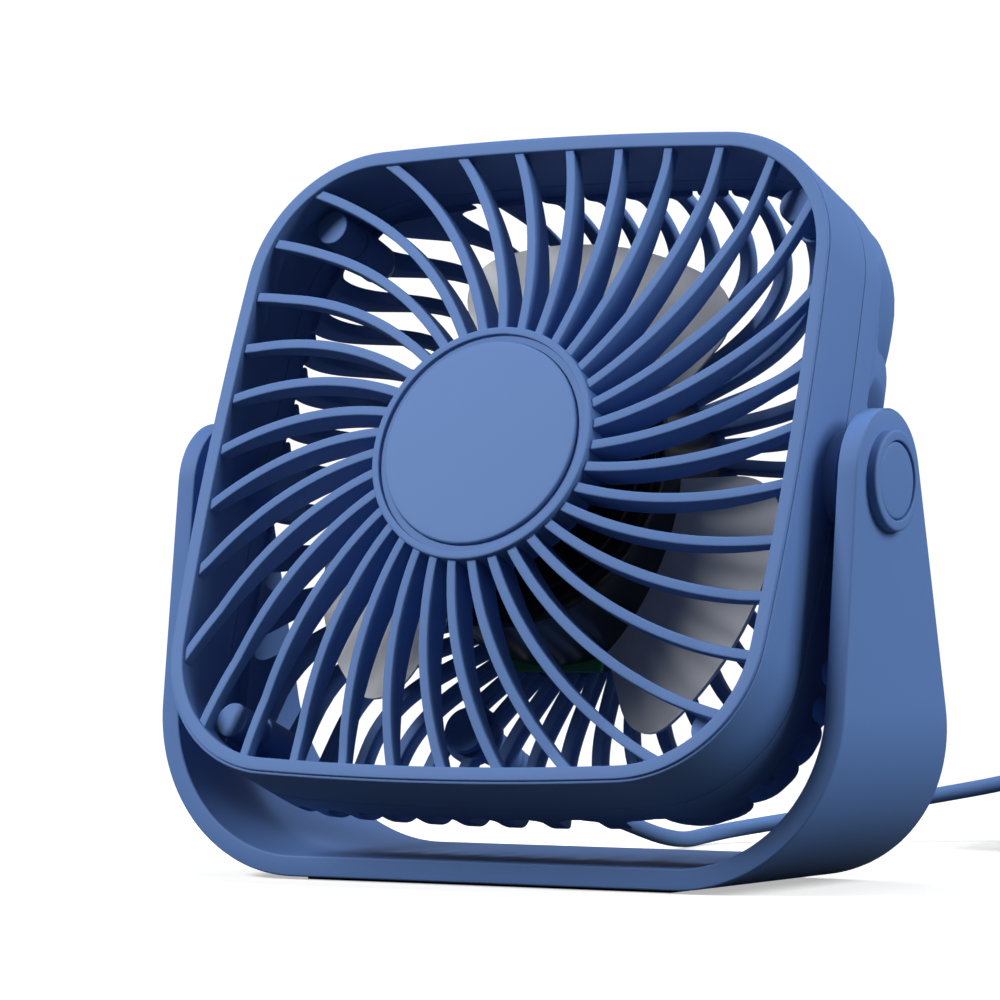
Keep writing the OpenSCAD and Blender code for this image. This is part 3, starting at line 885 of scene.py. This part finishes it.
def posts(at: Array, radius: float, low: float, high: float, soft: float = 0.3) -> Array:
    """Round posts along the head's depth, each a circle carried from one end to the other.

    Near the ends the circle shrinks by a quarter circle, so the edges are soft.

    Args:
        at: the posts' middles as (n, 2) of x and z.
        radius: the posts' radius.
        low: where they start.
        high: where they end.
        soft: rounding of the edges.

    Returns:
        Grids of (n, rows, 32, 3).
    """
    turn = np.linspace(0, math.pi / 2, 4)
    near = soft * (1 - np.sin(turn))
    size = radius - soft * (1 - np.cos(turn))
    y = np.concatenate([low + near[::-1], high - near])
    size = np.concatenate([size[::-1], size])
    a = np.linspace(0, math.tau, 32, endpoint=False)
    x = at[:, 0, None, None] + size[None, :, None] * np.cos(a)
    z = at[:, 1, None, None] + size[None, :, None] * np.sin(a)
    return np.stack([x, y[None, :, None] + 0 * x, z], -1)


@dataclass(frozen=True)
class FrontCover:
    """Rim, spiral ribs, hub ring and screw posts of the front cover."""

    outline: HeadOutline
    head: HeadFrame
    front: float = -18.6
    seam: float = -2.6
    rim: float = 3.3
    step: float = 0.6
    step_depth: float = 0.5
    wall: float = 2.4
    ribs: int = 35
    rib_width: float = 2.0
    rib_turn: float = math.radians(0.39)
    rib_start: float = math.radians(-1.07)
    rib_rear: float = -15.2
    hub_r: float = 24.3
    hub_front: float = -23.7
    dome_r: float = 378.0
    dome_front: float = -23.66
    flat_r: float = 66.0
    rib_from: float = 26.0
    post_r: float = 3.6
    post_gap: float = 4.0
    web_r: float = 2.4
    web_gap: float = 5.2

    def build(self) -> Piece:
        """Builds the cover as one piece. The posts start a gap behind the ribs.

        Returns:
            The new piece.
        """
        surface = Surface(self.head)
        surface.add(self.outline.carry(self._rim()), close_rows=True)
        surface.add(self._ribs(), caps=True)
        surface.add(self._hub_ring(), close_rows=True)
        surface.add(posts(POST_MIDDLES, self.post_r, self.rib_rear + self.post_gap, self.seam), caps=True)
        web_front = self.rib_rear + self.web_gap
        surface.add(posts(WEB_MIDDLES, self.web_r, web_front, self.seam - 0.2), caps=True)
        return place(surface, "front_grille", "head", SHELL_BLUE, "front_cover")

    def _rim(self) -> Array:
        """The rim's profile of (inset, y).

        Returns:
            The closed profile as (n, 2).
        """
        corners = np.array([
            (0.0, self.seam - 0.25),
            (0.0, self.front + self.step_depth),
            (self.step, self.front + self.step_depth),
            (self.step, self.front),
            (self.rim, self.front),
            (self.rim, self.seam - 10),
            (self.wall, self.seam - 10),
            (self.wall, self.seam + 2),
            (self.wall / 2 + 0.1, self.seam + 2),
            (self.wall / 2 + 0.1, self.seam - 0.25),
        ])
        radii = np.array([0.2, 0.35, 0.12, 0.3, 0.4, 0.2, 0.2, 0.2, 0.2, 0.1])
        return rounded(corners, radii)

    def _front_of(self, radius: Array) -> Array:
        """Front of the ribs: a wide sphere that turns flat near the rim."""
        fall = np.sqrt(self.dome_r**2 - np.minimum(radius, self.flat_r) ** 2)
        return self.dome_front + self.dome_r - fall

    def _bearing(self, r: Array) -> Array:
        """Angle of each rib's middle line at a radius."""
        own = np.arange(self.ribs)[:, None] * math.tau / self.ribs
        return own + self.rib_start + self.rib_turn * (r - self.rib_from)

    def _ribs(self, steps: int = 30) -> Array:
        """All ribs at once: a rounded bar carried along a spiral from the hub to the rim.

        At radius r a rib's middle line has the angle start + turn * (r - from), plus its share of
        the full circle. The bar's sides stand square to that line, and its front follows the dome.
        Each rib ends where it meets the rim, at the share of a probed stretch that lies inside.

        Args:
            steps: positions along a rib.

        Returns:
            Grids of (ribs, steps, loop, 3).
        """
        near, far = 60, 92
        probe = np.linspace(near, far, 400)[None]
        bearing = self._bearing(probe)
        inset = self.outline.inset_of(probe * np.cos(bearing), probe * np.sin(bearing))
        end = near + (far - near) * (inset > self.rim - 0.6).mean(axis=1)
        start = self.hub_r - 0.8
        r = start + (end[:, None] - start) * np.linspace(0, 1, steps)[None]
        angle = self._bearing(r)
        lean = angle + np.arctan(r * self.rib_turn)
        corners = np.array([(-1, 0), (1, 0), (1, 1), (-1, 1)], float) * (self.rib_width / 2, 1.0)
        across, deep = rounded(corners, np.full(4, 0.34)).T
        edge = np.minimum(deep, 1 - deep)
        y = np.where(deep < 0.5, self.rib_rear - edge, self._front_of(r)[..., None] + edge)
        x = (r * np.cos(angle))[..., None] - across * np.sin(lean)[..., None]
        z = (r * np.sin(angle))[..., None] + across * np.cos(lean)[..., None]
        return np.stack([x, y, z], -1)

    def _hub_ring(self) -> Array:
        """The hub ring's profile of (radius, y), turned: a front lip, a step and a back plate.

        Returns:
            A grid, to be closed along its rows.
        """
        r, y = self.hub_r, self.hub_front
        corners = np.array([
            (r, self.rib_rear), (r, y), (r - 1.6, y), (r - 1.6, y + 0.7), (r - 3, y + 0.7),
            (r - 3, y + 2.6), (AXIS_R, y + 2.6), (AXIS_R, y + 4.4), (r - 3, y + 4.4),
            (r - 3, self.rib_rear),
        ])
        radii = np.array([0.2, 0.45, 0.25, 0.1, 0.1, 0.1, 0.001, 0.001, 0.3, 0.2])
        return turned(rounded(corners, radii), 144)


@dataclass(frozen=True)
class RearCover:
    """Skirt, curved ribs, middle disc and posts of the rear cover."""

    outline: HeadOutline
    head: HeadFrame
    seam: float = -2.6
    back: float = 24.4
    slot: float = 5.0
    rounding: float = 17.0
    shell: float = 3.6
    wall: float = 2.4
    ribs: int = 44
    rib_width: float = 2.6
    first_rib: float = math.radians(-2.86)
    bend: float = math.radians(0.0215)
    bend_from: float = 53.0
    disc_r: float = 33.0
    disc_front: float = 22.0
    flare: float = 2.0
    post_r: float = 4.2
    post_back: float = 8.0
    web_r: float = 2.6
    pad_at: tuple[float, float] = (-18.0, -45.0)
    pad_r: float = 6.0
    pad_front: float = 20.8
    hole_z: float = -28.6
    hole_r: float = 3.9
    peg_x: float = 9.0
    peg_r: float = 1.5
    peg_front: float = 19.0
    boss_r: float = 9.6
    boss_face: float = 70.5
    neck_r: float = 6.4
    neck_end: float = 58.0

    def build(self) -> Piece:
        """Builds the cover as one piece: its pad holds the strain relief, and its pegs the board.

        Returns:
            The new piece.
        """
        surface = Surface(self.head)
        surface.add(self.outline.carry(self._skirt()), close_rows=True)
        surface.add(self._ribs(), caps=True)
        surface.add(self._disc(), close_rows=True)
        surface.add(posts(POST_MIDDLES, self.post_r, self.seam, self.post_back), caps=True)
        surface.add(posts(WEB_MIDDLES, self.web_r, self.seam + 2.1, self.post_back), caps=True)
        surface.add(posts(np.array([self.pad_at]), self.pad_r, self.pad_front, self.back, 0.6), caps=True)
        pegs = np.array([(side * self.peg_x, self.hole_z + 1) for side in (-1, 1)])
        surface.add(posts(pegs, self.peg_r, self.peg_front, self.disc_front + 0.2, 0.1), caps=True)
        for side in (-1, 1):
            surface.add(self._pivot_boss(side), close_rows=True)
        return place(surface, "rear_grille", "head", SHELL_BLUE, "rear_cover")

    def _skirt(self) -> Array:
        """The skirt's profile of (inset, y).

        Returns:
            The closed profile as (n, 2).
        """
        corners = np.array([
            (0.0, self.seam + 0.1), (0.0, self.slot), (self.wall, self.slot), (self.wall, self.seam + 2.2),
            (self.wall / 2, self.seam + 2.2), (self.wall / 2, self.seam + 0.1),
        ])
        return rounded(corners, np.array([0.3, 0.9, 0.6, 0.2, 0.2, 0.1]), 5)

    def _ribs(self, steps: int = 46) -> Array:
        """All ribs at once, each a rounded bar bent over the pillow-shaped back.

        At radius r a rib's middle line has the angle start + bend * (r - bend_from)^2. Over the
        back it keeps its depth. Near the edge it follows a quarter circle, whose inset from the
        outline is R(1 - cos b) and whose depth is R sin b past the side wall. The inner face is
        the same with R less the shell. The bar widens by a quarter circle at the skirt.

        Args:
            steps: positions along a rib.

        Returns:
            Grids of (ribs, steps, loop, 3).
        """
        side = self.back - self.rounding
        low = np.linspace(self.slot - 0.6, side, 9, endpoint=False)
        b = np.concatenate([0 * low, np.linspace(0, math.pi / 2, 20)])
        flat = np.linspace(0, 1, steps - b.size + 1)[1:]
        outer = np.stack([self.rounding * (1 - np.cos(b)), self.rounding * np.sin(b)])
        inner_r = self.rounding - self.shell
        inner = np.stack([self.rounding - inner_r * np.cos(b), inner_r * np.sin(b)])
        drop = np.concatenate([low - side, 0 * b[low.size :]])
        gap = np.clip(self.flare - (outer[1] + drop + side - self.slot), 0, self.flare)
        half = self.rib_width / 2 + self.flare - np.sqrt(self.flare**2 - gap**2)
        corners = np.array([(-1, 0), (1, 0), (1, 1), (-1, 1)], float)
        across, deep = rounded(corners, np.full(4, 0.3), 5).T
        own = self.first_rib + np.arange(self.ribs)[:, None, None] * math.tau / self.ribs
        wanted = outer[0][:, None] * (1 - deep) + inner[0][:, None] * deep
        bent = self._radius_at(own, wanted[None], (half[:, None] * across)[None])
        bent_y = drop[:, None] + side + outer[1][:, None] * (1 - deep) + inner[1][:, None] * deep
        run = bent[:, -1:] + (self.disc_r - 1 - bent[:, -1:]) * flat[None, :, None]
        run_y = self.back - self.shell * deep + 0 * flat[:, None]
        r = np.concatenate([bent, run], 1)
        width = np.concatenate([half, 0 * flat + self.rib_width / 2])[:, None] * across
        x, z = self._beside(own, r, width[None])
        return np.stack([x, np.concatenate([bent_y, run_y])[None] + 0 * x, z], -1)

    def _beside(self, own: Array, r: Array, off: Array) -> tuple[Array, Array]:
        """Points of the ribs at radius r, shifted sideways, square to the rib's middle line.

        Args:
            own: each rib's own angle.
            r: radius of the middle line's point.
            off: how far the point is shifted.

        Returns:
            The x and z of each point.
        """
        angle = own + self.bend * (r - self.bend_from) ** 2
        lean = angle + np.arctan(r * 2 * self.bend * (r - self.bend_from))
        return r * np.cos(angle) - off * np.sin(lean), r * np.sin(angle) + off * np.cos(lean)

    def _radius_at(self, own: Array, wanted: Array, off: Array) -> Array:
        """Radius at which the shifted ribs reach an inset, found by halving the range.

        Args:
            own: each rib's own angle.
            wanted: the insets to reach.
            off: how far the points are shifted.

        Returns:
            The radius for each point.
        """
        low = 40 + 0 * (own + wanted)
        high = 96 + 0 * low
        for _ in range(30):
            middle = (low + high) / 2
            inside = self.outline.inset_of(*self._beside(own, middle, off)) > wanted
            low, high = np.where(inside, middle, low), np.where(inside, high, middle)
        return low

    def _disc(self) -> Array:
        """The middle disc, with the button's hole.

        Its rings run from the rim to the hole: at share t the ring has the radius
        disc - t (disc - hole) and its middle has moved t of the way to the hole's.

        Returns:
            A grid, to be closed along its rows.
        """
        reach = self.disc_r - self.hole_r
        corners = np.array([
            (0.0, self.disc_front), (0.0, self.back), (reach, self.back), (reach, self.disc_front),
        ])
        profile = rounded(corners, np.array([0.2, 0.8, 0.5, 0.2]), 5)
        share = profile[None, :, 0] / reach
        a = np.linspace(0, math.tau, 128, endpoint=False)[:, None]
        radius = self.disc_r - profile[None, :, 0]
        x = radius * np.cos(a)
        z = radius * np.sin(a) + share * self.hole_z
        return np.stack([x, profile[None, :, 1] + 0 * x, z], -1)

    def _pivot_boss(self, side: int) -> Array:
        """The boss of one tilt pivot: a stepped profile of (radius, x) turned about the tilt axis.

        Args:
            side: 1 for the right side and -1 for the left.

        Returns:
            A grid, to be closed along its rows.
        """
        step = self.outline.half - 1
        corners = np.array([
            (AXIS_R, self.neck_end), (self.neck_r, self.neck_end), (self.neck_r, step),
            (self.boss_r, step), (self.boss_r, self.boss_face), (AXIS_R, self.boss_face),
        ])
        profile = rounded(corners, np.array([0.001, 0.4, 0.2, 0.2, 0.4, 0.001]))
        grid = turned(profile, 64)
        return np.stack([side * grid[..., 1], grid[..., 0], grid[..., 2]], -1)


@dataclass(frozen=True)
class HubCap:
    """The round plate in the middle of the grille, with a low crown and a soft edge."""

    head: HeadFrame
    radius: float = 21.15
    front: float = -23.9
    crown: float = 0.35
    soft: float = 0.5
    back: float = -21.2

    def build(self) -> Piece:
        """Turns the cap's crowned profile, which faces the front.

        Returns:
            The new piece.
        """
        profile = crowned(self.radius, -self.front, self.crown, self.soft, -self.back, 14) * (1, -1)
        surface = Surface(self.head)
        surface.add(turned(profile, 144), close_rows=True)
        return place(surface, "hub_plate", "head", CAP_BLUE, "hub_cap")


@dataclass(frozen=True)
class ReliefBoot:
    """The tapered strain relief, with the grooves that let it bend."""

    head: HeadFrame
    at: tuple[float, float, float] = (-18.0, 24.4, -45.0)
    length: float = 22.0
    root_r: float = 3.9
    tip_r: float = 2.5
    grooves: int = 6
    groove_depth: float = 0.7
    groove_from: float = 0.16
    groove_share: float = 0.76

    def build(self) -> Piece:
        """Turns the boot's profile about the lead: a cone less a row of raised cosines.

        Returns:
            The new piece.
        """
        t = np.linspace(0, 1, 90)
        cone = self.root_r + (self.tip_r - self.root_r) * t
        part = (t - self.groove_from) / self.groove_share
        wave = 0.5 - 0.5 * np.cos(math.tau * self.grooves * part)
        radius = cone - np.where((part > 0) & (part < 1), self.groove_depth * wave**4, 0.0)
        along = 0.5 + (self.length - 0.5) * t
        root = [(AXIS_R, -6.0), (4.6, -6.0), (4.6, -4.0), (3.35, -4.0), (3.35, 0.5)]
        tip = [(1.85, self.length), (AXIS_R, self.length - 0.05)]
        profile = np.concatenate([root, np.stack([radius, along], -1), tip])
        surface = Surface(self.head)
        surface.add(turned(profile, 48) + np.array(self.at), close_rows=True)
        return place(surface, "relief_boot", "head", JACKET, "strain_relief")


# ---------------------------------------------------------------- impeller


@dataclass(frozen=True)
class Impeller:
    """The gloss hub and the three silver blades."""

    head: HeadFrame
    boss_r: float = 32.0
    front: float = -6.0
    rear: float = 17.0
    inner_r: float = 28.0
    tip_r: float = 55.0
    starts: tuple[float, ...] = (122.0, 2.0, -118.0)
    span: float = 68.0
    rise: float = 15.8
    thick: float = 1.1
    cup: float = 2.4
    draw: float = 11.0

    def build(self) -> None:
        """Builds the hub and each blade as its own piece."""
        surface = Surface(self.head)
        surface.add(turned(self._hub(), 160), close_rows=True)
        place(surface, "hub_shell", "impeller", BLACK_GLOSS, "impeller_hub")
        for number, start in enumerate(self.starts, 1):
            blade = Surface(self.head)
            blade.add(self._blade(start), caps=True)
            place(blade, f"vane_{number}", "impeller", SILVER, f"blade_{number}", 50.0)

    def _hub(self) -> Array:
        """The hub's profile of (radius, y), with two fine rings cut round its front edge.

        Returns:
            The closed profile as (n, 2).
        """
        r, y = self.boss_r, self.front
        corners = np.array([
            (AXIS_R, y), (r - 6.2, y), (r - 6.0, y + 0.35), (r - 5.6, y + 0.35), (r - 5.4, y),
            (r - 2.6, y), (r - 2.4, y + 0.5), (r - 1.9, y + 0.5), (r - 1.7, y), (r, y),
            (r, self.rear), (self.inner_r, self.rear), (self.inner_r, y + 2.4), (AXIS_R, y + 2.4),
        ])
        return rounded(corners, np.array([0.001, *[0.1] * 8, 0.8, 0.3, 0.3, 0.2, 0.001]))

    def _blade(self, start: float, steps: int = 44, rows: int = 18) -> Array:
        """One blade: a helix from its leading edge, cupped, with round outer corners.

        Along the blade the angle falls by the span and the depth rises evenly, less a sine for
        the cup. Towards the tip the two ends draw in as the outer corner of a rounded square.
        The sheet's two faces lie half its thickness to each side and meet in round edges.

        Args:
            start: angle of the leading edge.
            steps: positions along the blade.
            rows: positions from hub to tip.

        Returns:
            A grid of (steps, loop, 3).
        """
        u = (1 - np.cos(np.linspace(0, math.pi, steps))) / 2
        from_end = np.minimum(u, 1 - u) * math.radians(self.span) * self.tip_r
        near = np.clip(1 - from_end / self.draw, 0, 1)
        tip = self.tip_r - self.draw * (1 - np.sqrt(np.clip(1 - near**2, 0, 1)))
        root = self.boss_r - 0.2
        r = root + (tip[:, None] - root) * np.linspace(0, 1, rows)[None]
        angle = np.radians(start - self.span * u)[:, None] + 0 * r
        out = (r - self.boss_r) / (self.tip_r - self.boss_r)
        cup = self.cup * np.sin(math.pi * u)[:, None] * (1 - 0.5 * out)
        mid = self.rise * u[:, None] - cup + self.thick / 2
        thin = self.thick * (0.35 + 0.65 * np.sin(math.pi * np.clip(u, 0.02, 0.98)) ** 0.5)[:, None]
        top = np.stack([r * np.cos(angle), mid - thin / 2, r * np.sin(angle)], -1)
        low = np.stack([r * np.cos(angle), mid + thin / 2, r * np.sin(angle)], -1)
        return np.concatenate([top, low[:, ::-1]], axis=1)


# ---------------------------------------------------------------- stand


@dataclass(frozen=True)
class Stand:
    """The one-piece U bracket with its round-topped arms, pivot rings and caps."""

    axis_z: float
    width: float = 154.2
    thick: float = 4.2
    corner: float = 34.0
    foot: float = 0.6
    front: float = -23.2
    back: float = 34.4
    arm_r: float = 13.8
    ring_r: float = 9.7
    ring_h: float = 2.0
    cap_r: float = 7.45
    cap_drop: float = 0.3
    cap_crown: float = 0.15
    cap_soft: float = 0.6
    soft: float = 0.45

    def build(self) -> None:
        """Builds the bracket with its rings, and the two caps."""
        surface = Surface()
        surface.add(self._bracket(), caps=True)
        for side in (-1, 1):
            surface.add(self._turned_side(self._ring(), side), close_rows=True)
        place(surface, "bracket", "stand", SHELL_BLUE, "stand_bracket")
        face = self.ring_h - self.cap_drop
        profile = crowned(self.cap_r, face, self.cap_crown, self.cap_soft, -0.5, 8)
        for side, word in ((-1, "left"), (1, "right")):
            cap = Surface()
            cap.add(self._turned_side(profile, side), close_rows=True)
            place(cap, f"pivot_button_{word}", "stand", SHELL_BLUE, f"pivot_cap_{word}")

    def _line(self) -> Array:
        """The bracket's outer line from one arm top to the other, with its inward normal.

        Returns:
            Rows of x, z and the inward normal's x and z, as (4, positions along the U).
        """
        half, r = self.width / 2, self.corner
        top, bend = self.axis_z + self.arm_r, self.foot + r
        fall = np.linspace(0, 1, 30)
        near_top = top - self.arm_r * 2 * (1 - np.cos(fall * math.pi / 2))
        down = np.concatenate([near_top, np.linspace(near_top[-1], bend, 16)[1:]])
        turn = np.linspace(0, math.pi / 2, 34)[1:]
        inner = np.linspace(-half + r, half - r, 14)[1:-1]
        c, s = np.cos(turn), np.sin(turn)
        arm = np.stack([0 * down - half, down, 0 * down + 1, 0 * down])
        elbow = np.stack([r - half - r * c, bend - r * s, c, s])
        base = np.stack([inner, 0 * inner + self.foot, 0 * inner, 0 * inner + 1])
        left = np.concatenate([arm, elbow], 1)
        right = left[:, ::-1] * np.array([(-1,), (1,), (-1,), (1,)])
        return np.concatenate([left, base, right], 1)

    def _reach(self, z: Array, foot_y: float) -> Array:
        """The side outline's y at a height: a straight edge that touches the arm's round top.

        Args:
            z: the heights.
            foot_y: the outline's y at the foot.

        Returns:
            The y at each height.
        """
        rise = self.axis_z - self.foot
        lean = math.atan2(rise, abs(foot_y)) + math.asin(self.arm_r / math.hypot(foot_y, rise))
        slope = 1 / math.tan(lean)
        touch = self.axis_z + self.arm_r * math.cos(lean)
        line = abs(foot_y) - (z - self.foot) * slope
        arc = np.sqrt(np.clip(self.arm_r**2 - (z - self.axis_z) ** 2, 1e-6, None))
        return math.copysign(1, foot_y) * np.where(z > touch, arc, line)

    def _bracket(self) -> Array:
        """A strip with soft edges carried along the U, as wide as the side outline at its height.

        Each of its four edges is a quarter circle, which at angle t lies soft (1 - cos t) in from
        the side and soft (1 - sin t) in from the face.

        Returns:
            A grid of (positions, loop, 3).
        """
        x, z, nx, nz = self._line()[..., None]
        low, high = self._reach(z, self.front), self._reach(z, self.back)
        t = np.linspace(0, math.pi / 2, 5)
        give = np.minimum(self.soft, (high - low) * 0.45)
        side, face = give * (1 - np.cos(t)), give * (1 - np.sin(t))
        y = np.concatenate([low + side[:, ::-1], low + side, high - side[:, ::-1], high - side], 1)
        deep = np.concatenate([face[:, ::-1], self.thick - face, self.thick - face[:, ::-1], face], 1)
        return np.stack([x + nx * deep, y, z + nz * deep], -1)

    def _ring(self) -> Array:
        """The raised ring's profile of (radius, how far it stands out).

        Returns:
            The closed profile as (n, 2).
        """
        hole_r = self.cap_r + 0.15
        corners = np.array([
            (self.ring_r, -1.0), (self.ring_r, self.ring_h), (hole_r, self.ring_h), (hole_r, -1.0),
        ])
        return rounded(corners, np.array([0.1, 0.7, 0.35, 0.1]), 6)

    def _turned_side(self, profile: Array, side: int) -> Array:
        """Turns a profile about the tilt axis, standing out of one arm.

        Args:
            profile: the closed profile of (radius, how far it stands out).
            side: 1 for the right side and -1 for the left.

        Returns:
            A grid, to be closed along its rows.
        """
        grid = turned(profile, 72)
        out = side * (self.width / 2 + grid[..., 1])
        return np.stack([out, grid[..., 0], self.axis_z + grid[..., 2]], -1)


# ---------------------------------------------------------------- all of it


def dress_nodes(frame: dict) -> None:
    """Gives every node of the frame the finish that the record names for it."""
    for entry in frame["record"]["subparts"]:
        dress(frame["nodes"][entry["node"]], FINISHES[entry["material_slot"]])


def main() -> None:
    """Builds the studio, the lead and every sub-assembly."""
    logging.basicConfig(level=logging.INFO, format="%(name)s %(message)s")
    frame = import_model()
    head = HeadFrame.of(frame["joints"])
    outline = HeadOutline(half=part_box("front_cover")[1][0] / MM)
    Studio().build()
    dress_nodes(frame)
    Lead().build(frame, Plug().build(frame))
    FrontCover(outline, head).build()
    RearCover(outline, head).build()
    HubCap(head).build()
    ReliefBoot(head).build()
    Impeller(head).build()
    Stand(axis_z=head.height).build()


if __name__ == "__main__":
    main()
